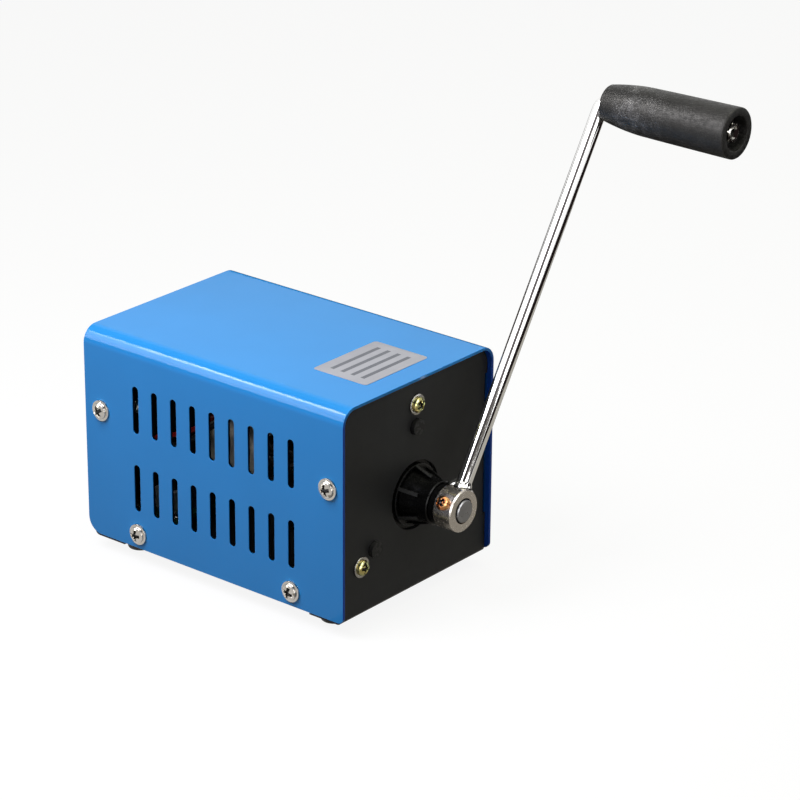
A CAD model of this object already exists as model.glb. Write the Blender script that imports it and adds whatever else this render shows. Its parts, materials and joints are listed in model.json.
import json
import math

import bmesh
import bpy
from mathutils import Matrix, Vector, noise


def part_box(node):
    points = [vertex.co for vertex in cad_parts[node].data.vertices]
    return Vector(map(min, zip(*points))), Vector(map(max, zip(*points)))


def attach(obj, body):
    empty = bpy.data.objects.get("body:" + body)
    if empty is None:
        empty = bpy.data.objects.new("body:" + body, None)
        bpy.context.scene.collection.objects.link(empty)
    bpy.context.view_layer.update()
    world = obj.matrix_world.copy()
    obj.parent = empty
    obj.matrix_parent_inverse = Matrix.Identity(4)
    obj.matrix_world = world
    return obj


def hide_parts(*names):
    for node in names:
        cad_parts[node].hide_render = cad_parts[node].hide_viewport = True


# Looks of the hand crank generator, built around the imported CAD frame. Sizes
# are in millimetres and are turned into metres when a mesh is made.
MM = 0.001

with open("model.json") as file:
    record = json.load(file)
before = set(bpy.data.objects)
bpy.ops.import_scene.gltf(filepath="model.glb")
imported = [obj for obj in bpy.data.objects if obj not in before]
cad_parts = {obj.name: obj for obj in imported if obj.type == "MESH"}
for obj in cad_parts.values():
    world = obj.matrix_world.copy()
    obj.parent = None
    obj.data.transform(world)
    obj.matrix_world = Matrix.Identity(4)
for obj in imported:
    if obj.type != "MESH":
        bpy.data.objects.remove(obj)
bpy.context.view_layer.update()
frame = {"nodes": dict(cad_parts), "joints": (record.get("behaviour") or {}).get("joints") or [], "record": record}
nodes = frame["nodes"]
joints = {joint["name"]: joint for joint in frame["joints"]}


def box_mm(node):
    """Low and high corner of a CAD node's box."""
    low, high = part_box(node)
    return low / MM, high / MM


# ---- sizes
cover_low, cover_high = box_mm("cover")
plate_x = box_mm("chassis")[1].x
axis_z = joints["crank_spin"]["pos_m"][2] / MM
to_axis = (0, 0, -axis_z * MM)    # shift that puts the crank axis at height 0
grip_y, grip_z = (value / MM for value in joints["grip_spin"]["pos_m"][1:])
arm_lean = math.atan2(grip_y, grip_z - axis_z)
along_arm = Vector((0, math.sin(arm_lean), math.cos(arm_lean)))
square_to_arm = Vector((0, -math.cos(arm_lean), math.sin(arm_lean)))
crank_radius = math.hypot(grip_y, grip_z - axis_z)
hub_front = box_mm("crank_hub")[1].x
grip_start = box_mm("grip")[0].x
grip_end = box_mm("grip")[1].x
grip_radius = (box_mm("grip")[1].y - box_mm("grip")[0].y) / 2

sheet = 1.2
cover_bend = 6.1             # to the middle of the sheet
bend_steps = 10
sheet_edge = 0.14            # rounding of sheared edges
wall_corner_front = 2.7
wall_corner_rear = 6.5
slot_count = 9
slot_pitch = 10.0
slot_length = 19.8
slot_width = 3.1
slot_rows = (59.0, 25.9)     # above the cover's lower edge
side_shift = 0.8
upper_screw = (58.5, 54.2)   # from the middle of the slots, above the lower edge
lower_screw = (39.9, 6.3)
screw_hole = 2.2

cover_screw = {"head_radius": 3.3, "head_height": 1.9, "shank_radius": 2.0, "shank_length": 7.0,
               "flange_radius": 4.3, "flange_height": 0.9}
cover_screw_turns = (12, 37)    # degrees of the first one, and from each to the next
gearbox_screw = {"head_radius": 3.1, "head_height": 2.2, "shank_radius": 1.9, "shank_length": 14.0}
gearbox_screw_circle = 37.5
gearbox_screw_turns = {90: 10, 210: 62, 330: 31}    # by place on the circle, in degrees
gearbox_washer = (2.1, 4.2, 0.9)                    # hole, outer radius, thickness
set_screw = {"head_radius": 2.8, "head_height": 2.9, "shank_radius": 2.0, "shank_length": 4.0}
set_screw_back = 4.1         # behind the hub's front face
set_screw_turn = 25
recess_turn = 20             # of a cross recess against its screw
thread_pitch = 0.7
thread_depth = 0.22

label_x = 43.3
label_y = -1.4
label_width = 26.3
label_length = 37.2
label_thickness = 0.15
label_corner = 1.5
label_edge = 0.03
bar_rows = 4
bar_pitch = 5.0
bar_width = 1.9
bar_length = 28.0

rib_foot_radius = 12.4       # outer edge of the nose's ribs, at the plate
rib_end_radius = 9.7
rib_length = 7.7

arm_radius = 3.0
arm_x = hub_front - 4.4      # the rod stands behind the hub's front face
arm_bend = 3.4
hub_radius = 8.5
rod_place = Vector((0.084, 0.045, 0.113))    # near the middle of the rod, in metres
stud_radius = 2.0
stud_proud = 1.1
recess_depth = 5.9
grip_mouth = 1.0             # countersink at the grip's rear
grip_play = 0.08             # between the grip's bore and the rod
recess_radius = 6.75
washer_gap = 0.3
washer_radius = 4.4
washer_thickness = 0.8
nut_flats = 7.0
nut_height = 3.2
stud_face = grip_end - recess_depth + washer_gap

foot_radius = 5.8
foot_hole = 1.5
foot_recess = 3.0            # radius of the hollow for the screw's head
foot_web = 2.6               # height of the rubber that the head seats on

# ---- camera
CAMERA_PLACE = Vector((780.379, -884.932, 555.747)) * MM
CAMERA_TARGET = Vector((10.8, 55.98, 52.0)) * MM
CAMERA_ROLL = math.radians(0.41)
CAMERA_LENS = 146.97

# ---- light levels
WORLD_FILL = (0.14, 0.14, 0.1428)
REAR_DARK = (0.02, 0.015, 0.01)    # of the cards behind the case
FLOOR_REACH = 12.0
FLOOR_BOUNCE = 0.12          # grey of the floor for the light that it throws back
FLOOR_SEEN = 0.80            # and as the camera and reflections see it
FLOOR_GLOW = 0.82            # share of plain white in the floor as it is seen
FLOOR_WHITE = 1.09           # strength of that white


# ---- mesh helpers
def in_scene(name, data):
    """A new object in the scene."""
    thing = bpy.data.objects.new(name, data)
    bpy.context.scene.collection.objects.link(thing)
    return thing


def new_piece(name, bm, body, slot, *replaces, sharp=28.0, even=False):
    """Turns a bmesh in millimetres into a piece that rides on a body in place of CAD nodes."""
    bmesh.ops.scale(bm, vec=(MM, MM, MM), verts=bm.verts)
    bmesh.ops.recalc_face_normals(bm, faces=bm.faces)
    limit = math.radians(sharp)
    for face in bm.faces:
        face.smooth = True
    for edge in bm.edges:
        edge.smooth = len(edge.link_faces) == 2 and edge.calc_face_angle(0.0) < limit
    mesh = bpy.data.meshes.new(name)
    bm.to_mesh(mesh)
    bm.free()
    piece = in_scene(name, mesh)
    mesh.materials.append(finishes[slot])
    if even:
        normals = piece.modifiers.new("normals", "WEIGHTED_NORMAL")
        normals.keep_sharp = True
    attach(piece, body)
    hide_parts(*replaces)


def rounded(corners, steps=4):
    """Points of an outline whose corners (u, v, radius) are rounded by arcs."""
    points = []
    count = len(corners)
    for i, (u, v, radius) in enumerate(corners):
        here = Vector((u, v))
        if radius <= 0:
            points.append(here)
            continue
        back = (Vector(corners[i - 1][:2]) - here).normalized()
        ahead = (Vector(corners[(i + 1) % count][:2]) - here).normalized()
        half = back.angle(ahead) / 2
        centre = here + (back + ahead).normalized() * radius / math.sin(half)
        start = here + back * radius / math.tan(half) - centre
        sweep = math.pi - 2 * half
        side = 1 if back.x * ahead.y - back.y * ahead.x < 0 else -1
        for k in range(steps + 1):
            turn = side * sweep * k / steps
            points.append(centre + Vector((
                start.x * math.cos(turn) - start.y * math.sin(turn),
                start.x * math.sin(turn) + start.y * math.cos(turn),
            )))
    return points


def loft(bm, rings, closed=False):
    """Faces between rings of vertices. A ring of one vertex is a pole."""
    pairs = list(zip(rings, rings[1:]))
    if closed:
        pairs.append((rings[-1], rings[0]))
    for one, two in pairs:
        count = max(len(one), len(two))
        if count == 1:
            continue
        for i in range(count):
            j = (i + 1) % count
            corners = [one[i % len(one)], one[j % len(one)], two[j % len(two)], two[i % len(two)]]
            unique = list(dict.fromkeys(corners))
            if len(unique) > 2:
                bm.faces.new(unique)


def around(count):
    """Angles of a full turn in equal steps."""
    return [2 * math.pi * k / count for k in range(count)]


def spoke(bm, matrix, radius, turn, height):
    """A vertex at a radius, an angle and a height about local Z."""
    place = Vector((radius * math.cos(turn), radius * math.sin(turn), height))
    return bm.verts.new(matrix @ place)


def turned_ring(bm, matrix, radius, height, segments):
    """Vertices of a circle about local Z."""
    return [spoke(bm, matrix, radius, turn, height) for turn in around(segments)]


def lathe(bm, profile, matrix, segments):
    """A closed turned form about local Z from (radius, height) points."""
    rings = [turned_ring(bm, matrix, radius, height, segments) for radius, height in profile]
    loft(bm, rings, closed=True)


def thread(radius, start, turns, pitch):
    """Profile of a thread as (radius, height) points. A negative pitch runs down."""
    points = []
    for k in range(turns):
        height = start + k * pitch
        points += [(radius, height), (radius - thread_depth, height + pitch / 2)]
    return points


def facing(place, direction, spin=0.0):
    """A matrix that stands local Z along a direction at a place."""
    turn = Vector(direction).to_track_quat("Z", "Y").to_matrix().to_4x4()
    return Matrix.Translation(Vector(place)) @ turn @ Matrix.Rotation(math.radians(spin), 4, "Z")


def polar(radius, angle):
    """(y, z) of a place at a radius and an angle about the crank axis."""
    turn = math.radians(angle)
    return radius * math.cos(turn), axis_z + radius * math.sin(turn)


# ---- materials
def linear(colour):
    """Screen colour, 0 to 255 per channel, as scene values."""
    steps = [value / 255 for value in colour]
    return [s / 12.92 if s <= 0.04045 else ((s + 0.055) / 1.055) ** 2.4 for s in steps]


class Surface:
    """A procedural material whose nodes are laid out by short calls."""

    def __init__(self, name, roughness=0.4, metallic=0.0, **sockets):
        self.material = bpy.data.materials.new(name)
        self.material.use_nodes = True
        self.tree = self.material.node_tree
        self.shader = self.tree.nodes["Principled BSDF"]
        self.shader.inputs["Roughness"].default_value = roughness
        self.shader.inputs["Metallic"].default_value = metallic
        for socket, value in sockets.items():
            self.shader.inputs[socket.replace("_", " ")].default_value = value
        self.place = self.tree.nodes.new("ShaderNodeTexCoord").outputs["Object"]

    def add(self, kind, **values):
        """A new shader node with its properties set."""
        node = self.tree.nodes.new("ShaderNode" + kind)
        for key, value in values.items():
            setattr(node, key, value)
        return node

    def link(self, output, target):
        """Joins an output to an input."""
        self.tree.links.new(output, target)

    def noise(self, size_mm, detail=3.0, roughness=0.55, place=None):
        """Noise with features of about the given size."""
        node = self.add("TexNoise")
        node.inputs["Scale"].default_value = 1 / (size_mm * MM)
        node.inputs["Detail"].default_value = detail
        node.inputs["Roughness"].default_value = roughness
        self.link(place or self.place, node.inputs["Vector"])
        return node.outputs["Fac"]

    def patches(self, size_mm, detail=3.0, low=0.0, high=1.0):
        """Soft patches of about the given size, from low to high."""
        return self.remap(self.noise(size_mm, detail), 0.3, 0.7, low, high)

    def attribute(self, name):
        """A value kept on the vertices of the mesh."""
        return self.add("Attribute", attribute_name=name).outputs["Fac"]

    def mapped(self, scale=(1, 1, 1), shift=(0, 0, 0)):
        """The object's coordinates, scaled along each axis and then shifted."""
        node = self.add("Mapping")
        node.inputs["Location"].default_value = shift
        node.inputs["Scale"].default_value = scale
        self.link(self.place, node.inputs["Vector"])
        return node.outputs["Vector"]

    def remap(self, value, low, high, to_low=0.0, to_high=1.0):
        """A value's share of the way from low to high, held at both ends."""
        node = self.add("MapRange", clamp=True)
        ends = {"From Min": low, "From Max": high, "To Min": to_low, "To Max": to_high}
        for name, number in ends.items():
            node.inputs[name].default_value = number
        self.link(value, node.inputs["Value"])
        return node.outputs["Result"]

    def mix(self, factor, one, two):
        """A colour between two, each a colour or an output."""
        node = self.add("Mix", data_type="RGBA")
        self.link(factor, node.inputs["Factor"])
        for socket, value in ((node.inputs[6], one), (node.inputs[7], two)):
            if isinstance(value, bpy.types.NodeSocket):
                self.link(value, socket)
            else:
                socket.default_value = (*value, 1)
        return node.outputs[2]

    def math(self, operation, one, two=0.0):
        """Arithmetic on numbers or outputs."""
        node = self.add("Math", operation=operation)
        for socket, value in zip(node.inputs, (one, two)):
            if isinstance(value, bpy.types.NodeSocket):
                self.link(value, socket)
            else:
                socket.default_value = value
        return node.outputs[0]

    def axis(self, name):
        """One of the object's coordinates, in metres."""
        node = self.add("SeparateXYZ")
        self.link(self.place, node.inputs[0])
        return node.outputs[name]

    def colour(self, output):
        """Sets the colour."""
        self.link(output, self.shader.inputs["Base Color"])

    def roughness(self, output):
        """Sets the roughness."""
        self.link(output, self.shader.inputs["Roughness"])

    def bump(self, height, depth_mm):
        """Adds relief from a height output, on top of what is there."""
        node = self.add("Bump")
        node.inputs["Distance"].default_value = depth_mm * MM
        self.link(height, node.inputs["Height"])
        normal = self.shader.inputs["Normal"]
        if normal.is_linked:
            self.link(normal.links[0].from_socket, node.inputs["Normal"])
        self.link(node.outputs["Normal"], normal)

    def darken_recess(self, left):
        """Dims the colour in the cross recesses of the screws."""
        colour = self.shader.inputs["Base Color"].links[0].from_socket
        deep = self.remap(self.attribute("recess"), 0.15, 0.80)
        self.colour(self.mix(deep, colour, (left, left, left)))

    def tinted(self, colour, spread, size_mm):
        """Slow variation of a colour."""
        pale = [min(1.0, c * (1 + spread)) for c in colour]
        deep = [c * (1 - spread) for c in colour]
        self.colour(self.mix(self.patches(size_mm), deep, pale))


def sheet_shades(s, paint):
    """Paint of the cover, shaded on cut walls, on its inner face at the open ends and on its front rim."""
    depth = s.attribute("depth")                 # mm below the sheet's outer face
    wall_shade = (0.002, 0.008, 0.020)
    inner_shade = (0.014, 0.11, 0.66)
    rim_shade = (0.035, 0.36, 1.0)
    reach = s.math("ABSOLUTE", s.axis("X"))
    near_end = s.remap(reach, (cover_high.x - 3.5) * MM, (cover_high.x - 2.0) * MM)
    walls = s.math("MULTIPLY", s.remap(depth, 0.20, 0.32), s.math("SUBTRACT", 1.0, near_end))
    paint = s.mix(walls, paint, wall_shade)
    inner = s.math("MULTIPLY", s.remap(depth, 1.10, 1.16), near_end)
    paint = s.mix(inner, paint, inner_shade)
    height = s.remap(s.axis("Z"), (cover_high.z - 7) * MM, (cover_high.z - 1) * MM)
    front = s.remap(s.axis("X"), (cover_high.x - 0.20) * MM, (cover_high.x - 0.10) * MM)
    return s.mix(front, paint, s.mix(height, inner_shade, rim_shade))


def powder_coat(name, colour, roughness, peel, gloss, shades=None):
    """Baked paint with slight orange peel, and further shades from a function."""
    s = Surface(name, roughness, Specular_IOR_Level=gloss)
    paint = s.mix(s.patches(28, 2), [c * 0.98 for c in colour], [c * 1.02 for c in colour])
    if shades:
        paint = shades(s, paint)
    s.colour(paint)
    s.roughness(s.patches(6, 3, roughness - 0.02, roughness + 0.03))
    s.bump(s.noise(1.6, 2), peel)
    return s.material


def plated(name, colour, roughness, spread=0.10, lines=None):
    """Plated metal, uneven in tone and polish, with drawn lines where a stretch is given."""
    s = Surface(name, roughness, 1.0)
    s.tinted(colour, spread, 3.0)
    s.darken_recess(0.04)
    s.roughness(s.patches(1.2, 4, roughness * 0.7, roughness * 1.5))
    s.bump(s.noise(0.5, 3), 0.01)
    if lines:
        s.bump(s.noise(0.6, 2, place=s.mapped(lines)), 0.012)
    return s.material


def passivated():
    """Yellow zinc plating: straw to green on the front plate, and copper on the hub."""
    s = Surface("yellow_zinc", 0.14, 1.0)
    stains = s.remap(s.noise(2.2, 2), 0.42, 0.58)
    copper = s.mix(stains, (0.60, 0.33, 0.14), (0.62, 0.22, 0.09))
    straw = s.mix(stains, (0.52, 0.44, 0.17), (0.36, 0.38, 0.19))
    on_hub = s.remap(s.axis("X"), (plate_x + 6) * MM, (plate_x + 8) * MM)
    s.colour(s.mix(on_hub, straw, copper))
    s.darken_recess(0.03)
    s.roughness(s.patches(1.2, 4, 0.08, 0.22))
    s.bump(s.noise(0.5, 3), 0.008)
    return s.material


def turned_steel(name, colour, roughness):
    """Machined metal with rings about the crank axis."""
    s = Surface(name, roughness, 1.0)
    s.tinted(colour, 0.06, 5.0)
    rings = s.add("TexWave", wave_type="RINGS", rings_direction="X")
    rings.inputs["Scale"].default_value = 900
    rings.inputs["Distortion"].default_value = 1.5
    s.link(s.mapped(shift=to_axis), rings.inputs["Vector"])
    s.bump(rings.outputs["Fac"], 0.006)
    s.roughness(s.patches(1.5, 4, roughness * 0.75, roughness * 1.4))
    return s.material


def moulded(name, colour, roughness, grain_mm=0.5, depth=0.02, spread=0.08, gloss=0.5):
    """Moulded plastic or rubber with a fine eroded grain."""
    s = Surface(name, roughness, Specular_IOR_Level=gloss)
    s.tinted(colour, spread, 5.0)
    s.roughness(s.patches(2.0, 4, roughness - 0.07, roughness + 0.09))
    s.bump(s.noise(grain_mm, 2), depth)
    return s.material


def black_nylon():
    """Black nylon, scuffed paler along the outer edges of the nose's ribs."""
    s = Surface("black_nylon", 0.24, Specular_IOR_Level=0.13)
    reach = s.add("VectorMath", operation="LENGTH")
    s.link(s.mapped((0, 1, 1), to_axis), reach.inputs[0])
    along = s.axis("X")
    slope = (rib_foot_radius - rib_end_radius) / rib_length
    edge = s.math("SUBTRACT", (rib_foot_radius + slope * plate_x) * MM, s.math("MULTIPLY", along, slope))
    scuffed = s.remap(s.math("SUBTRACT", reach.outputs["Value"], edge), -0.40 * MM, -0.20 * MM)
    rib_end = plate_x + rib_length
    ends = ((plate_x - 0.1, plate_x + 0.3, 0.0, 1.0), (rib_end - 0.1, rib_end + 0.2, 1.0, 0.0))
    for low, high, before, after in ends:
        scuffed = s.math("MULTIPLY", scuffed, s.remap(along, low * MM, high * MM, before, after))
    base = s.mix(s.patches(5.0), (0.0030, 0.0030, 0.0030), (0.0040, 0.0040, 0.0040))
    s.colour(s.mix(scuffed, base, (0.042, 0.042, 0.043)))
    s.roughness(s.patches(2.0, 4, 0.19, 0.33))
    s.bump(s.noise(0.9, 2), 0.002)
    return s.material


def grip_plastic():
    """Black plastic with an eroded grain, and powdery scuffs near the arm."""
    s = Surface("grip_plastic", 0.45, Specular_IOR_Level=0.32, Specular_Tint=(1.0, 0.97, 0.91, 1))
    along = s.axis("X")
    entry = s.remap(along, (grip_start + 6) * MM, (grip_start + 12) * MM)
    fade = s.remap(along, (grip_start + 14) * MM, (grip_start + 32) * MM, 1.0, 0.10)
    areas = s.remap(s.noise(5.0, 5, 0.65), 0.42, 0.60)
    grit = s.remap(s.noise(0.5, 5, 0.80), 0.44, 0.60)
    scuff = s.math("MULTIPLY", s.math("MULTIPLY", areas, grit), s.math("MULTIPLY", fade, entry))
    grain = s.remap(s.noise(0.5, 4, 0.7), 0.35, 0.65)
    base = s.mix(grain, (0.003, 0.003, 0.003), (0.021, 0.0205, 0.020))
    s.colour(s.mix(scuff, base, (0.26, 0.255, 0.25)))
    s.roughness(s.patches(1.6, 4, 0.33, 0.62))
    s.bump(s.noise(0.45, 3), 0.055)
    s.bump(s.noise(2.4, 3), 0.045)
    return s.material


def polished_chrome():
    """Chrome with faint waves and handling marks."""
    s = Surface("polished_chrome", 0.07, 1.0)
    s.tinted((0.93, 0.925, 0.915), 0.02, 6.0)
    s.roughness(s.remap(s.noise(3.0, 5), 0.35, 0.75, 0.05, 0.14))
    s.bump(s.noise(1.3, 3, place=s.mapped((1, 1, 0.25))), 0.006)
    return s.material


def weld_metal():
    """Plated weld bead: smooth lumps with dark pits, and a dark line at its foot."""
    s = Surface("weld_metal", 0.09, 1.0)
    metal = s.mix(s.remap(s.noise(1.1, 3), 0.38, 0.45), (0.03, 0.028, 0.025), (0.92, 0.91, 0.89))
    at_foot = s.remap(s.attribute("foot"), 0.84, 0.92)
    s.colour(s.mix(at_foot, metal, (0.015, 0.013, 0.012)))
    s.roughness(s.patches(0.8, 4, 0.05, 0.16))
    s.bump(s.noise(0.9, 3), 0.10)
    return s.material


def label_film():
    """Silver printing film with a faint brushed grain and plain printed bars."""
    s = Surface("label_film", 0.38)
    half_pitch = bar_pitch / 2 * MM
    half_block = bar_rows * half_pitch
    across = s.math("SUBTRACT", s.axis("X"), label_x * MM - half_block)
    row = s.math("PINGPONG", s.math("SUBTRACT", across, half_pitch), half_pitch)
    on_bar = s.math("LESS_THAN", row, bar_width / 2 * MM)
    from_middle = s.math("ABSOLUTE", s.math("SUBTRACT", across, half_block))
    in_block = s.math("LESS_THAN", from_middle, half_block)
    sideways = s.math("ABSOLUTE", s.math("SUBTRACT", s.axis("Y"), label_y * MM))
    in_length = s.math("LESS_THAN", sideways, bar_length / 2 * MM)
    printed = s.math("MULTIPLY", s.math("MULTIPLY", on_bar, in_length), in_block)
    film = s.mix(s.patches(8), linear((173, 174, 181)), linear((180, 181, 188)))
    s.colour(s.mix(printed, film, linear((102, 105, 114))))
    s.bump(s.noise(0.5, 2, place=s.mapped((1, 0.04, 1))), 0.004)
    s.roughness(s.patches(3, 4, 0.33, 0.45))
    return s.material


def wound_wire():
    """Enamelled copper wire laid in turns."""
    s = Surface("wound_wire", 0.28, 1.0)
    s.tinted((0.72, 0.33, 0.14), 0.2, 1.0)
    turns = s.add("TexWave", wave_type="BANDS", bands_direction="X")
    turns.inputs["Scale"].default_value = 700
    s.link(s.place, turns.inputs["Vector"])
    s.bump(turns.outputs["Fac"], 0.15)
    return s.material


def circuit_green():
    """Solder mask with a faint pattern of tracks below it."""
    s = Surface("circuit_green", 0.28, Coat_Weight=0.3)
    cells = s.add("TexVoronoi", distance="MANHATTAN")
    cells.inputs["Scale"].default_value = 260
    s.link(s.place, cells.inputs["Vector"])
    tracks = s.remap(cells.outputs["Distance"], 0.35, 0.40)
    s.colour(s.mix(tracks, (0.007, 0.055, 0.025), (0.011, 0.085, 0.038)))
    s.bump(tracks, 0.03)
    return s.material


def led_plastic():
    """Clear lens of the LED."""
    s = Surface("led_plastic", 0.22, Transmission_Weight=0.55, IOR=1.5)
    s.tinted((0.86, 0.90, 0.86), 0.04, 1.0)
    s.bump(s.noise(0.3, 2), 0.01)
    return s.material


# Colour, roughness, spread of the colour, stretch of the drawn lines.
plated_metals = {
    "nickel": ((0.45, 0.42, 0.375), 0.11),
    "zinc_steel": ((0.38, 0.365, 0.335), 0.20),
    "bronze": ((0.60, 0.38, 0.18), 0.35),
    "gear_steel": ((0.50, 0.50, 0.52), 0.30, 0.08, (1, 1, 0.1)),
    "can_steel": ((0.34, 0.33, 0.30), 0.45, 0.04),
    "brass": ((0.80, 0.60, 0.27), 0.22),
    "core_steel": ((0.32, 0.32, 0.33), 0.45, 0.10, (6, 0.3, 0.3)),
    "copper": ((0.85, 0.45, 0.28), 0.22),
    "sink_aluminium": ((0.66, 0.67, 0.68), 0.35, 0.06, (1, 1, 0.05)),
}
# Colour, roughness, size and depth of the grain in millimetres, spread of the colour.
moulded_goods = {
    "foot_rubber": ((0.014, 0.014, 0.014), 0.62, 0.4, 0.03),
    "white_acetal": ((0.80, 0.80, 0.76), 0.38, 1.0, 0.01, 0.03),
    "ferrite": ((0.045, 0.045, 0.048), 0.50, 0.8, 0.04),
    "carbon": ((0.03, 0.03, 0.03), 0.55, 0.3, 0.03),
    "white_plastic": ((0.80, 0.80, 0.77), 0.40, 1.0, 0.01, 0.03),
    "capacitor_sleeve": ((0.015, 0.02, 0.07), 0.25, 2.0, 0.01),
    "red_insulation": ((0.50, 0.012, 0.010), 0.38, 1.0, 0.01),
    "black_insulation": ((0.012, 0.012, 0.012), 0.38, 1.0, 0.01),
}
finishes = {
    "blue_paint": powder_coat("blue_paint", (0.0325, 0.320, 0.800), 0.085, 0.0015, 0.14, sheet_shades),
    "black_paint": powder_coat("black_paint", (0.0140, 0.0146, 0.0154), 0.50, 0.010, 0.23),
    "silver_label": label_film(),
    "black_nylon": black_nylon(),
    "yellow_zinc": passivated(),
    "copper_wire": wound_wire(),
    "shaft_steel": turned_steel("shaft_steel", (0.24, 0.24, 0.25), 0.34),
    "hub_steel": turned_steel("hub_steel", (0.54, 0.50, 0.46), 0.23),
    "chrome_rod": polished_chrome(),
    "weld_metal": weld_metal(),
    "grip_plastic": grip_plastic(),
    "board_green": circuit_green(),
    "led_lens": led_plastic(),
}
finishes.update({name: plated(name, *values) for name, values in plated_metals.items()})
finishes.update({name: moulded(name, *values) for name, values in moulded_goods.items()})


def dress_cad_nodes():
    """Every CAD node takes the finish of its slot in the record."""
    for subpart in frame["record"]["subparts"]:
        mesh = nodes[subpart["node"]].data
        mesh.materials.clear()
        mesh.materials.append(finishes[subpart["material_slot"]])


# ---- cover
def closed_loop(curve, points):
    """Adds a closed outline to a curve."""
    spline = curve.splines.new("POLY")
    spline.points.add(len(points) - 1)
    for target, (u, v) in zip(spline.points, points):
        target.co = (u, v, 0, 1)
    spline.use_cyclic_u = True


def circle(u, v, radius):
    """Outline of a round hole."""
    return [(u + radius * math.cos(turn), v + radius * math.sin(turn)) for turn in around(28)]


def flat_plate(loops, thickness, edge):
    """A flat sheet with holes and rounded edges, as a bmesh in the plane of its loops."""
    curve = bpy.data.curves.new("outline", "CURVE")
    curve.dimensions = "2D"
    curve.fill_mode = "BOTH"
    curve.extrude = thickness / 2 - edge
    curve.bevel_depth = edge
    curve.bevel_resolution = 1
    curve.offset = -edge
    for loop in loops:
        closed_loop(curve, loop)
    holder = in_scene("outline", curve)
    bpy.context.view_layer.update()
    evaluated = holder.evaluated_get(bpy.context.evaluated_depsgraph_get())
    mesh = bpy.data.meshes.new_from_object(evaluated)
    bm = bmesh.new()
    bm.from_mesh(mesh)
    bmesh.ops.remove_doubles(bm, verts=bm.verts, dist=1e-4)
    bpy.data.objects.remove(holder)
    bpy.data.curves.remove(curve)
    bpy.data.meshes.remove(mesh)
    return bm


def side_loops(wall, sign):
    """Slots and screw holes of one side wall, in the flattened sheet."""
    loops = []
    first = side_shift - slot_pitch * (slot_count - 1) / 2
    for row in slot_rows:
        for i in range(slot_count):
            u = first + i * slot_pitch
            v = sign * (wall - row)
            half = slot_width / 2
            reach = slot_length / 2
            end = half * 0.98
            loops.append(rounded([(u - half, v - reach, end), (u + half, v - reach, end),
                                  (u + half, v + reach, end), (u - half, v + reach, end)], steps=8))
    for x, z in (upper_screw, lower_screw):
        for side in (-1, 1):
            loops.append(circle(side_shift + side * x, sign * (wall - z), screw_hole))
    return loops


def build_cover():
    """Cover cut flat, with all its holes, and then folded along its two long bends."""
    x0, x1 = cover_low.x, cover_high.x
    outer = cover_bend + sheet / 2
    half_top = cover_high.y - outer
    arc = cover_bend * math.pi / 2
    drop = cover_high.z - outer - cover_low.z
    wall = half_top + arc + drop
    outline = rounded([
        (x0, -wall, wall_corner_rear), (x1, -wall, wall_corner_front),
        (x1, wall, wall_corner_front), (x0, wall, wall_corner_rear),
    ], steps=8)
    bm = flat_plate([outline] + side_loops(wall, -1) + side_loops(wall, 1), sheet, sheet_edge)
    for sign in (-1, 1):
        for k in range(bend_steps + 1):
            cut = sign * (half_top + arc * k / bend_steps)
            geometry = bm.verts[:] + bm.edges[:] + bm.faces[:]
            bmesh.ops.bisect_plane(bm, geom=geometry, plane_co=(0, cut, 0), plane_no=(0, 1, 0), dist=1e-4)
    depth = bm.verts.layers.float.new("depth")
    for vert in bm.verts:
        u, v, out = vert.co
        vert[depth] = sheet / 2 - out
        beyond = abs(v) - half_top
        turn = min(max(beyond / cover_bend, 0.0), math.pi / 2)
        straight = max(beyond - arc, 0.0)
        radius = cover_bend + out
        across = min(abs(v), half_top) + radius * math.sin(turn)
        height = cover_high.z - outer + radius * math.cos(turn) - straight
        vert.co = (u, across if v > 0 else -across, height)
    new_piece("cover_shell", bm, "case", "blue_paint", "cover", sharp=20, even=True)


# ---- bevelled copies
def bevelled_copy(node, name, slot, width):
    """A copy of a node of the case whose sharp edges are rounded."""
    bm = bmesh.new()
    bm.from_mesh(nodes[node].data)
    bmesh.ops.scale(bm, vec=(1 / MM, 1 / MM, 1 / MM), verts=bm.verts)
    bmesh.ops.remove_doubles(bm, verts=bm.verts, dist=1e-3)
    bmesh.ops.dissolve_limit(bm, angle_limit=math.radians(0.6), verts=bm.verts, edges=bm.edges)
    sharp = [e for e in bm.edges if len(e.link_faces) == 2 and e.calc_face_angle(0.0) > math.radians(35)]
    bmesh.ops.bevel(bm, geom=sharp, offset=width, offset_type="OFFSET", segments=2, profile=0.5,
                    affect="EDGES", clamp_overlap=True)
    new_piece(name, bm, "case", slot, node, even=True)


# ---- screws
def cross_recess(size):
    """A function for the depth of a cross recess on a screw head of this radius."""
    half_width = size * 0.17
    reach = size * 0.66
    wall = size * 0.07
    turn = math.radians(recess_turn)

    def depth(x, y):
        """Height to add at a point: 0 outside the cross."""
        u = abs(x * math.cos(turn) + y * math.sin(turn))
        v = abs(-x * math.sin(turn) + y * math.cos(turn))
        inside = max(min(half_width - v, reach - u), min(half_width - u, reach - v))
        inside = max(inside, half_width * 1.7 - math.hypot(u, v))
        share = min(max(inside / wall + 0.5, 0.0), 1.0)
        slope = 1 - 0.55 * math.hypot(x, y) / reach
        return -share * size * 0.48 * max(slope, 0.0)

    return depth


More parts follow.
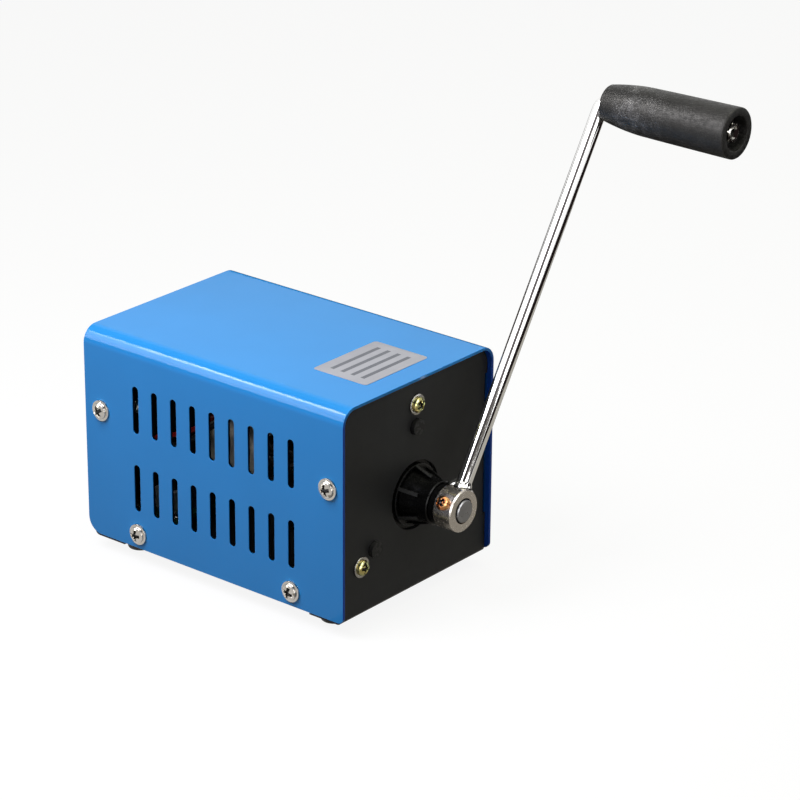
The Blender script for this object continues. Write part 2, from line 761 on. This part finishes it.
def add_screw(bm, matrix, head_radius, head_height, shank_radius, shank_length,
              flange_radius=0.0, flange_height=0.0):
    """A pan head screw with a cross recess, an optional washer face and a thread."""
    crown_rings = 22
    segments = 72
    rim = flange_height + head_height * 0.40
    top = flange_height + head_height
    dome = (head_radius ** 2 + (top - rim) ** 2) / (2 * (top - rim))
    crown = []
    for k in range(crown_rings + 1):
        radius = head_radius * 0.97 * k / crown_rings
        crown.append((radius, top - dome + math.sqrt(dome ** 2 - radius ** 2)))
    skirt = [(head_radius, rim - head_height * 0.06), (head_radius, flange_height + 0.12)]
    if flange_radius:
        skirt += [(head_radius + 0.10, flange_height + 0.02), (flange_radius - 0.22, flange_height),
                  (flange_radius - 0.06, flange_height - 0.08), (flange_radius, flange_height - 0.25),
                  (flange_radius, 0.0)]
    else:
        skirt += [(head_radius - 0.12, 0.0)]
    turns = int((shank_length - 0.5) / thread_pitch)
    shank = [(shank_radius, 0.0)] + thread(shank_radius, -0.3, turns, -thread_pitch)
    shank += [(shank_radius - 0.4, -shank_length), (0, -shank_length)]
    recess = cross_recess(head_radius)
    layer = bm.verts.layers.float.get("recess") or bm.verts.layers.float.new("recess")
    rings = []
    for index, (radius, height) in enumerate(crown + skirt + shank):
        ring = []
        for turn in around(segments if radius > 1e-6 else 1):
            on_crown = index < len(crown)
            lift = recess(radius * math.cos(turn), radius * math.sin(turn)) if on_crown else 0.0
            vert = spoke(bm, matrix, radius, turn, height + lift)
            vert[layer] = -lift / (head_radius * 0.30)
            ring.append(vert)
        rings.append(ring)
    loft(bm, rings)


def build_cover_screws():
    """Four flanged screws on each side of the cover."""
    bm = bmesh.new()
    spin, step = cover_screw_turns
    for x, z in (upper_screw, lower_screw):
        for end in (-1, 1):
            for side in (-1, 1):
                place = (side_shift + end * x, side * cover_high.y, cover_low.z + z)
                add_screw(bm, facing(place, (0, side, 0), spin), **cover_screw)
                spin += step
    new_piece("cover_screw_set", bm, "case", "nickel", "cover_screws", sharp=34)


def build_gearbox_screws():
    """Yellow pan head screws on plain washers, on the front plate."""
    bm = bmesh.new()
    washers = bmesh.new()
    hole, outer, thick = gearbox_washer
    ring = rounded([(hole, 0, 0), (outer, 0, 0.15), (outer, thick, 0.25), (hole, thick, 0.1)])
    for angle, spin in gearbox_screw_turns.items():
        y, z = polar(gearbox_screw_circle, angle)
        lathe(washers, ring, facing((plate_x, y, z), (1, 0, 0)), 56)
        add_screw(bm, facing((plate_x + thick, y, z), (1, 0, 0), spin), **gearbox_screw)
    new_piece("gearbox_washer_set", washers, "case", "zinc_steel", "gearbox_washers")
    new_piece("gearbox_screw_set", bm, "case", "yellow_zinc", "gearbox_screws", sharp=34)


def build_set_screws():
    """Two screws through the hub, square to the arm."""
    bm = bmesh.new()
    for sign in (-1, 1):
        out = square_to_arm * sign
        seat = Vector((hub_front - set_screw_back, 0, axis_z)) + out * hub_radius
        add_screw(bm, facing(seat, out, set_screw_turn * sign), **set_screw)
    new_piece("set_screw_pair", bm, "crank", "yellow_zinc", "set_screws", sharp=34)


# ---- crank and grip
def lean_matrix():
    """Turns what is built upright over the crank axis to the arm's resting angle."""
    lift = Matrix.Translation((0, 0, axis_z))
    return lift @ Matrix.Rotation(-arm_lean, 4, "X")


def swept(bm, path, segments, matrix):
    """Rings of a round bar along a path of (x, z, radius) in the local XZ plane."""
    rings = []
    for i, (x, z, radius) in enumerate(path):
        before = Vector(path[max(i - 1, 0)][:2])
        after = Vector(path[min(i + 1, len(path) - 1)][:2])
        along = (after - before).normalized()
        ring = []
        for turn in around(segments):
            out = radius * math.cos(turn)
            place = Vector((x - along.y * out, radius * math.sin(turn), z + along.x * out))
            ring.append(bm.verts.new(matrix @ place))
        rings.append(ring)
    return rings


def build_arm():
    """Chromed rod from the hub, bent over into the grip's axle, with a threaded end."""
    bm = bmesh.new()
    long_steps = 40
    bend_turns = 16
    axle_steps = 12
    top = crank_radius
    foot = hub_radius - 0.6      # sunk in the weld
    rod = [(arm_x, foot + (top - arm_bend - foot) * k / long_steps) for k in range(long_steps + 1)]
    for k in range(1, bend_turns + 1):
        turn = math.pi / 2 * k / bend_turns
        rod.append((arm_x + arm_bend * (1 - math.cos(turn)), top - arm_bend * (1 - math.sin(turn))))
    start = arm_x + arm_bend
    rod += [(start + (stud_face - start) * k / axle_steps, top) for k in range(1, axle_steps + 1)]
    end = stud_face + washer_thickness + nut_height + stud_proud
    turns = int((end - stud_face - 0.6) / thread_pitch)
    stud = [(stud_radius, stud_face)] + thread(stud_radius, stud_face + 0.2, turns, thread_pitch)
    stud += [(stud_radius - 0.35, end)]
    path = [(x, z, arm_radius) for x, z in rod] + [(x, top, radius) for radius, x in stud]
    rings = swept(bm, path, 48, lean_matrix())
    loft(bm, rings)
    bm.faces.new(rings[-1])
    bm.faces.new(rings[0])
    new_piece("crank_rod", bm, "crank", "chrome_rod", "crank_arm", sharp=40)


def build_weld():
    """Lumpy bead around the foot of the arm, drawn out along the hub to the rear."""
    bm = bmesh.new()
    foot = bm.verts.layers.float.new("foot")
    segments = 72
    levels = 12
    bead = 1.35                  # reach of the bead beyond the rod
    tail = 1.5                   # and its further reach to the rear
    tail_shift = 2.0             # of the tail, square to the arm
    climb = 2.7                  # height that the bead climbs on the rod
    sunk = 0.15                  # into the rod and the hub, and behind the hub's front face
    matrix = lean_matrix()
    rings = []
    for j in range(levels + 1):
        share = j / levels
        ring = []
        for turn in around(segments):
            x_dir = math.cos(turn)
            y_dir = math.sin(turn)
            to_rear = max(-x_dir, 0.0)
            lump = noise.noise(Vector((x_dir * 2.3, y_dir * 2.3, share * 1.4)) * 1.4)
            reach = bead + tail * to_rear ** 2
            spread = arm_radius - sunk + reach * (1 - share) ** 1.6 * (1 + 0.45 * lump)
            x = min(arm_x + x_dir * spread, hub_front - sunk)
            y = y_dir * spread - tail_shift * to_rear ** 3 * (1 - share)
            on_hub = math.sqrt(max(hub_radius ** 2 - y ** 2, 0.0)) - sunk
            rise = climb * share * (1 + 0.30 * lump) + 0.35 * math.sin(math.pi * share)
            vert = bm.verts.new(matrix @ Vector((x, y, on_hub + rise)))
            vert[foot] = 1 - share
            ring.append(vert)
        rings.append(ring)
    loft(bm, rings)
    new_piece("weld_bead", bm, "crank", "weld_metal", "weld", sharp=60)


def grip_profile():
    """Radius along the grip: narrow at the arm, a long swell, nearly straight to the front."""
    length = grip_end - grip_start
    narrow = 7.3                 # radius at the arm
    belly = 9.45                 # and where the swell ends
    swell = 20.0                 # length of the swell
    steps = 44
    edge = 0.6
    points = []
    for k in range(steps + 1):
        x = edge + (length - 2 * edge) * k / steps
        if x < swell:
            share = (x - edge) / (swell - edge)
            radius = narrow + (belly - narrow) * math.sin(share * math.pi / 2) ** 0.92
        else:
            share = (x - swell) / (length - edge - swell)
            radius = belly + (grip_radius - belly) * share ** 0.85
        points.append((radius, x))
    return points


def build_grip():
    """Grip with a countersunk bore, softened ends and a recess for its nut."""
    bm = bmesh.new()
    length = grip_end - grip_start
    bore = arm_radius + grip_play
    floor = length - recess_depth
    outside = grip_profile()
    back = outside[0][0]
    soft = ((0.6, 0.0), (0.2, 0.12), (0.03, 0.36))    # in from the side, and from the end
    rear = [(bore, grip_mouth), (bore + grip_mouth, 0.0)]
    rear += [(back - inward, along) for inward, along in soft]
    front = [(grip_radius - inward, length - along) for inward, along in reversed(soft)]
    mouth = ((0.35, 0.0), (0.1, -0.1), (0.0, -0.4))
    bottom = ((-0.05, 0.6), (-0.2, 0.2), (-0.6, 0.0))
    front += [(recess_radius + out, length + along) for out, along in mouth]
    front += [(recess_radius + out, floor + along) for out, along in bottom]
    front += [(bore + 0.2, floor), (bore, floor - 0.2)]
    lathe(bm, rear + outside + front, facing((grip_start, grip_y, grip_z), (1, 0, 0)), 96)
    new_piece("grip_handle", bm, "grip", "grip_plastic", "grip", sharp=32)


def build_grip_washer():
    """Washer on the stud, in the grip's recess."""
    bm = bmesh.new()
    ring = rounded([(stud_radius, 0, 0), (washer_radius, 0, 0.15), (washer_radius, washer_thickness, 0.25),
                    (stud_radius, washer_thickness, 0)])
    lathe(bm, ring, facing((stud_face, grip_y, grip_z), (1, 0, 0)), 56)
    new_piece("grip_washer_ring", bm, "crank", "zinc_steel", "grip_washer")


def build_grip_nut():
    """Hexagon nut on the stud, with its corners cut back at both faces."""
    bm = bmesh.new()
    segments = 96
    matrix = facing((stud_face + washer_thickness, grip_y, grip_z), (1, 0, 0), 10)
    flat = nut_flats / 2
    corner = flat / math.cos(math.pi / 6)
    rings = []
    for height, cut in ((0.0, 0.35), (0.25, 0.0), (nut_height - 0.25, 0.0), (nut_height, 0.35)):
        ring = []
        for turn in around(segments):
            local = (turn + math.pi / 6) % (math.pi / 3) - math.pi / 6
            radius = min(flat / math.cos(local), corner - cut)
            ring.append(spoke(bm, matrix, radius, turn, height))
        rings.append(ring)
    for height, radius in ((nut_height, 2.5), (nut_height - 0.4, stud_radius), (0.0, stud_radius)):
        rings.append(turned_ring(bm, matrix, radius, height, segments))
    loft(bm, rings, closed=True)
    new_piece("grip_hex_nut", bm, "crank", "zinc_steel", "grip_nut", sharp=24)


# ---- feet and label
def build_feet():
    """Four rubber feet, hollow below for the heads of their screws."""
    bm = bmesh.new()
    high = box_mm("rubber_feet")[1]
    profile = rounded([
        (foot_hole, high.z, 0), (foot_hole, foot_web, 0), (foot_recess, foot_web, 0.3), (foot_recess, 0, 0.3),
        (foot_radius - 0.6, 0, 0.8), (foot_radius, high.z, 0.3),
    ], steps=5)
    for sx in (-1, 1):
        for sy in (-1, 1):
            place = (sx * (high.x - foot_radius), sy * (high.y - foot_radius), 0)
            lathe(bm, profile, Matrix.Translation(place), 56)
    new_piece("foot_set", bm, "case", "foot_rubber", "rubber_feet")


def build_label():
    """Silver label. Its finish prints plain ruled bars, and no lettering."""
    u = label_width / 2
    v = label_length / 2
    corner = label_corner
    outline = rounded([(-u, -v, corner), (u, -v, corner), (u, v, corner), (-u, v, corner)], steps=6)
    bm = flat_plate([outline], label_thickness, label_edge)
    shift = (label_x, label_y, cover_high.z + label_thickness / 2)
    bmesh.ops.translate(bm, vec=shift, verts=bm.verts)
    new_piece("label_plate", bm, "case", "silver_label", "label")


# ---- studio
def make_camera():
    """The photograph's view, with a small roll."""
    back = (CAMERA_PLACE - CAMERA_TARGET).normalized()
    right = (-back).cross(Vector((0, 0, 1))).normalized()
    up = right.cross(-back)
    turned_right = right * math.cos(CAMERA_ROLL) + up * math.sin(CAMERA_ROLL)
    turned_up = up * math.cos(CAMERA_ROLL) - right * math.sin(CAMERA_ROLL)
    data = bpy.data.cameras.new("camera")
    data.lens = CAMERA_LENS
    data.sensor_width = 36
    data.clip_end = 50
    camera = in_scene("camera", data)
    matrix = Matrix((turned_right, turned_up, back)).transposed().to_4x4()
    matrix.translation = CAMERA_PLACE
    camera.matrix_world = matrix
    bpy.context.scene.camera = camera


def seen_ray(tree):
    """1 for camera, glossy and transmission rays, 0 for the light that falls on the object."""
    path = tree.nodes.new("ShaderNodeLightPath")
    total = path.outputs["Is Camera Ray"]
    for name in ("Is Glossy Ray", "Is Transmission Ray"):
        node = tree.nodes.new("ShaderNodeMath")
        node.operation = "MAXIMUM"
        tree.links.new(total, node.inputs[0])
        tree.links.new(path.outputs[name], node.inputs[1])
        total = node.outputs[0]
    return total


def make_world():
    """Dim fill for the object, and white as the camera and reflections see it."""
    world = bpy.data.worlds.new("studio")
    bpy.context.scene.world = world
    world.use_nodes = True
    tree = world.node_tree
    background = tree.nodes["Background"]
    mix = tree.nodes.new("ShaderNodeMix")
    mix.data_type = "RGBA"
    mix.inputs[6].default_value = (*WORLD_FILL, 1)
    mix.inputs[7].default_value = (1, 1, 1, 1)
    tree.links.new(seen_ray(tree), mix.inputs["Factor"])
    tree.links.new(mix.outputs[2], background.inputs["Color"])


def bare_material(name):
    """A material without nodes but its output."""
    material = bpy.data.materials.new(name)
    material.use_nodes = True
    tree = material.node_tree
    tree.nodes.clear()
    return material, tree, tree.nodes.new("ShaderNodeOutputMaterial")


def make_floor():
    """Pale floor that keeps the object's shadow, and throws little light back."""
    mesh = bpy.data.meshes.new("floor")
    far = FLOOR_REACH
    mesh.from_pydata([(-far, -far, 0), (far, -far, 0), (far, far, 0), (-far, far, 0)], [], [(0, 1, 2, 3)])
    floor = in_scene("floor", mesh)
    material, tree, output = bare_material("floor")
    diffuse = tree.nodes.new("ShaderNodeBsdfDiffuse")
    paint = tree.nodes.new("ShaderNodeMix")
    paint.data_type = "RGBA"
    paint.inputs[6].default_value = (FLOOR_BOUNCE, FLOOR_BOUNCE, FLOOR_BOUNCE, 1)
    paint.inputs[7].default_value = (FLOOR_SEEN, FLOOR_SEEN, FLOOR_SEEN, 1)
    glow = tree.nodes.new("ShaderNodeEmission")
    glow.inputs["Color"].default_value = (1, 1, 1, 1)
    glow.inputs["Strength"].default_value = FLOOR_WHITE
    mix = tree.nodes.new("ShaderNodeMixShader")
    share = tree.nodes.new("ShaderNodeMath")
    share.operation = "MULTIPLY"
    share.inputs[1].default_value = FLOOR_GLOW
    seen = seen_ray(tree)
    for source, target in (
        (seen, share.inputs[0]), (seen, paint.inputs["Factor"]), (paint.outputs[2], diffuse.inputs["Color"]),
        (share.outputs[0], mix.inputs[0]), (diffuse.outputs[0], mix.inputs[1]),
        (glow.outputs[0], mix.inputs[2]), (mix.outputs[0], output.inputs["Surface"]),
    ):
        tree.links.new(source, target)
    mesh.materials.append(material)


def add_light(name, place, size, energy, colour):
    """A soft box that faces the case. Places in metres."""
    data = bpy.data.lights.new(name, "AREA")
    data.shape = "RECTANGLE"
    data.size = size
    data.size_y = size
    data.energy = energy
    data.color = colour
    light = in_scene(name, data)
    light.location = place
    towards = Vector((0.0, 0.02, 0.08)) - Vector(place)
    light.rotation_euler = towards.to_track_quat("-Z", "Y").to_euler()


def add_card(name, corners, colour):
    """A plain studio card that only reflections show. Corners in metres."""
    mesh = bpy.data.meshes.new(name)
    mesh.from_pydata(corners, [], [(0, 1, 2, 3)])
    card = in_scene(name, mesh)
    material, tree, output = bare_material(name)
    paper = tree.nodes.new("ShaderNodeEmission")
    paper.inputs["Color"].default_value = (*colour, 1)
    tree.links.new(paper.outputs[0], output.inputs["Surface"])
    material.cycles.emission_sampling = "NONE"
    mesh.materials.append(material)
    card.visible_camera = False
    card.visible_diffuse = False
    card.visible_shadow = False
    card.visible_transmission = False


def level(x0, y0, x1, y1):
    """Corners of a card that lies on the floor."""
    height = 0.0005
    return [(x0, y0, height), (x1, y0, height), (x1, y1, height), (x0, y1, height)]


def standing(middle, azimuth, width, low, high):
    """Corners of an upright card that faces the given azimuth, in degrees from +X."""
    turn = math.radians(azimuth)
    side = Vector((-math.sin(turn), math.cos(turn), 0)) * width / 2
    foot = Vector((*middle, 0))
    ends = ((-1, low), (1, low), (1, high), (-1, high))
    return [foot + side * end + Vector((0, 0, height)) for end, height in ends]


def mirrored(normal, place):
    """Where the camera's ray goes after a mirror with this normal at a place."""
    seen = (CAMERA_PLACE - place).normalized()
    return normal * 2 * seen.dot(normal) - seen


def bend_sector(low, high, inner, outer):
    """Corners of a far card that the cover's long bend mirrors between two angles from its wall."""
    distance = 1.2
    place = Vector((0, -0.05, 0.1))
    corners = []
    for angle, scale in ((low, inner), (low, outer), (high, outer), (high, inner)):
        turn = math.radians(angle)
        ray = mirrored(Vector((0, -math.cos(turn), math.sin(turn))), place)
        reach = distance / -ray.x * scale
        corners.append((-distance, place.y + ray.y * reach, place.z + ray.z * reach))
    return corners


def edge_sector(low, high):
    """Corners of a card mirrored by bevels that run around the crank end, between two angles from -Y."""
    flat = math.radians(39)      # slopes of the bevels, from X
    steep = math.radians(50)
    place = Vector((0.09, 0.0, 0.05))
    corners = []
    for angle, slope in ((low, flat), (low, steep), (high, steep), (high, flat)):
        turn = math.radians(angle)
        across = math.sin(slope)
        normal = Vector((math.cos(slope), -across * math.cos(turn), across * math.sin(turn)))
        corners.append(place + mirrored(normal, place))
    return corners


def add_front_flags():
    """Dark cards in front of the rod, which it mirrors as the dark line along its middle."""
    middle = rod_place + Vector((0.407, -0.774, 0.485))
    across = Vector((0.914, 0.345, -0.216))
    for name, foot, head, wide, narrow, shade in (("low", -0.15, 0.02, 0.37, 0.36, 0.03),
                                                  ("high", 0.02, 0.40, 0.29, 0.24, 0.14)):
        low = middle + along_arm * foot
        high = middle + along_arm * head
        corners = [low - across * wide, low + across * wide, high + across * narrow, high - across * narrow]
        add_card("front_flag_" + name, corners, (shade, shade * 0.9, shade * 0.9))


def add_side_flags():
    """Cards beside and behind the crank: dark for the stripes along the rod, and a grey one on the floor."""
    azimuth = 35
    turn = math.radians(azimuth)
    middle = (rod_place.x + 0.200 * math.cos(turn), rod_place.y + 0.200 * math.sin(turn))
    corners = standing(middle, azimuth, 0.46, 0.042, 0.130)
    corners[2].z = 0.190
    add_card("right_flag", corners, (0.012, 0.008, 0.008))
    corners = [(-0.241, 0.043, 0.10), (-0.262, -0.02, 0.10), (-0.262, -0.02, 0.27), (-0.241, 0.043, 0.27)]
    add_card("rear_flag_left", corners, REAR_DARK)
    add_card("rear_flag", standing((-0.156, 0.190), -30, 0.34, 0.0, 0.150), REAR_DARK)
    add_card("rear_floor_card", level(-0.25, 0.06, 0.05, 0.40), REAR_DARK)
    add_card("floor_card", level(0.051, -0.10, 0.60, 0.70), (0.42, 0.40, 0.355))


def add_foot_flag():
    """A grey card that the rod mirrors just above its weld."""
    place = Vector((rod_place.x, 0, axis_z * MM))
    corners = []
    for radius, angle in ((9, 10), (9, 62), (56, 46), (56, 28)):
        turn = math.radians(angle)
        ray = Vector((math.cos(turn), 0, 0)) + square_to_arm * math.sin(turn)
        corners.append(place + along_arm * (radius * MM + 0.012) + ray * 0.22)
    add_card("foot_flag", corners, (0.16, 0.15, 0.14))


def make_studio():
    """Two soft boxes, a pale floor, and the cards that shiny parts mirror. Sizes in metres."""
    make_world()
    make_floor()
    add_light("top_box", (0.30, 0.30, 1.1), 1.0, 4.6, (0.96, 0.98, 0.74))
    add_light("left_box", (-0.06, -0.27, 0.42), 0.28, 1.68, (1.0, 1.0, 1.10))
    add_front_flags()
    add_side_flags()
    for name, low, high, inner, outer, shine in (
        ("bend_dark_low", 4, 21, 0.80, 1.25, 0.10), ("bend_broad", 21, 43, 0.80, 1.25, 9.0),
        ("bend_line", 43, 49, 0.93, 1.25, 34.0), ("bend_line_left", 43, 49, 0.80, 0.93, 13.0),
        ("bend_dark_high", 49, 72, 0.80, 1.25, 0.10),
    ):
        add_card(name, bend_sector(low, high, inner, outer), (shine, shine, shine))
    for name, low, high in (("edge_low", 8, 34), ("edge_high", 34, 66)):
        add_card(name, edge_sector(low, high), (6.0, 6.0, 6.0))
    add_foot_flag()


# ---- all of it
dress_cad_nodes()
build_cover()
bevelled_copy("chassis", "chassis_shell", "black_paint", width=0.22)
bevelled_copy("gearbox_housing", "gearbox_moulding", "black_nylon", width=0.25)
build_cover_screws()
build_gearbox_screws()
build_set_screws()
build_arm()
build_weld()
build_grip()
build_grip_washer()
build_grip_nut()
build_feet()
build_label()
make_studio()
make_camera()
bpy.context.scene.view_settings.view_transform = "Standard"
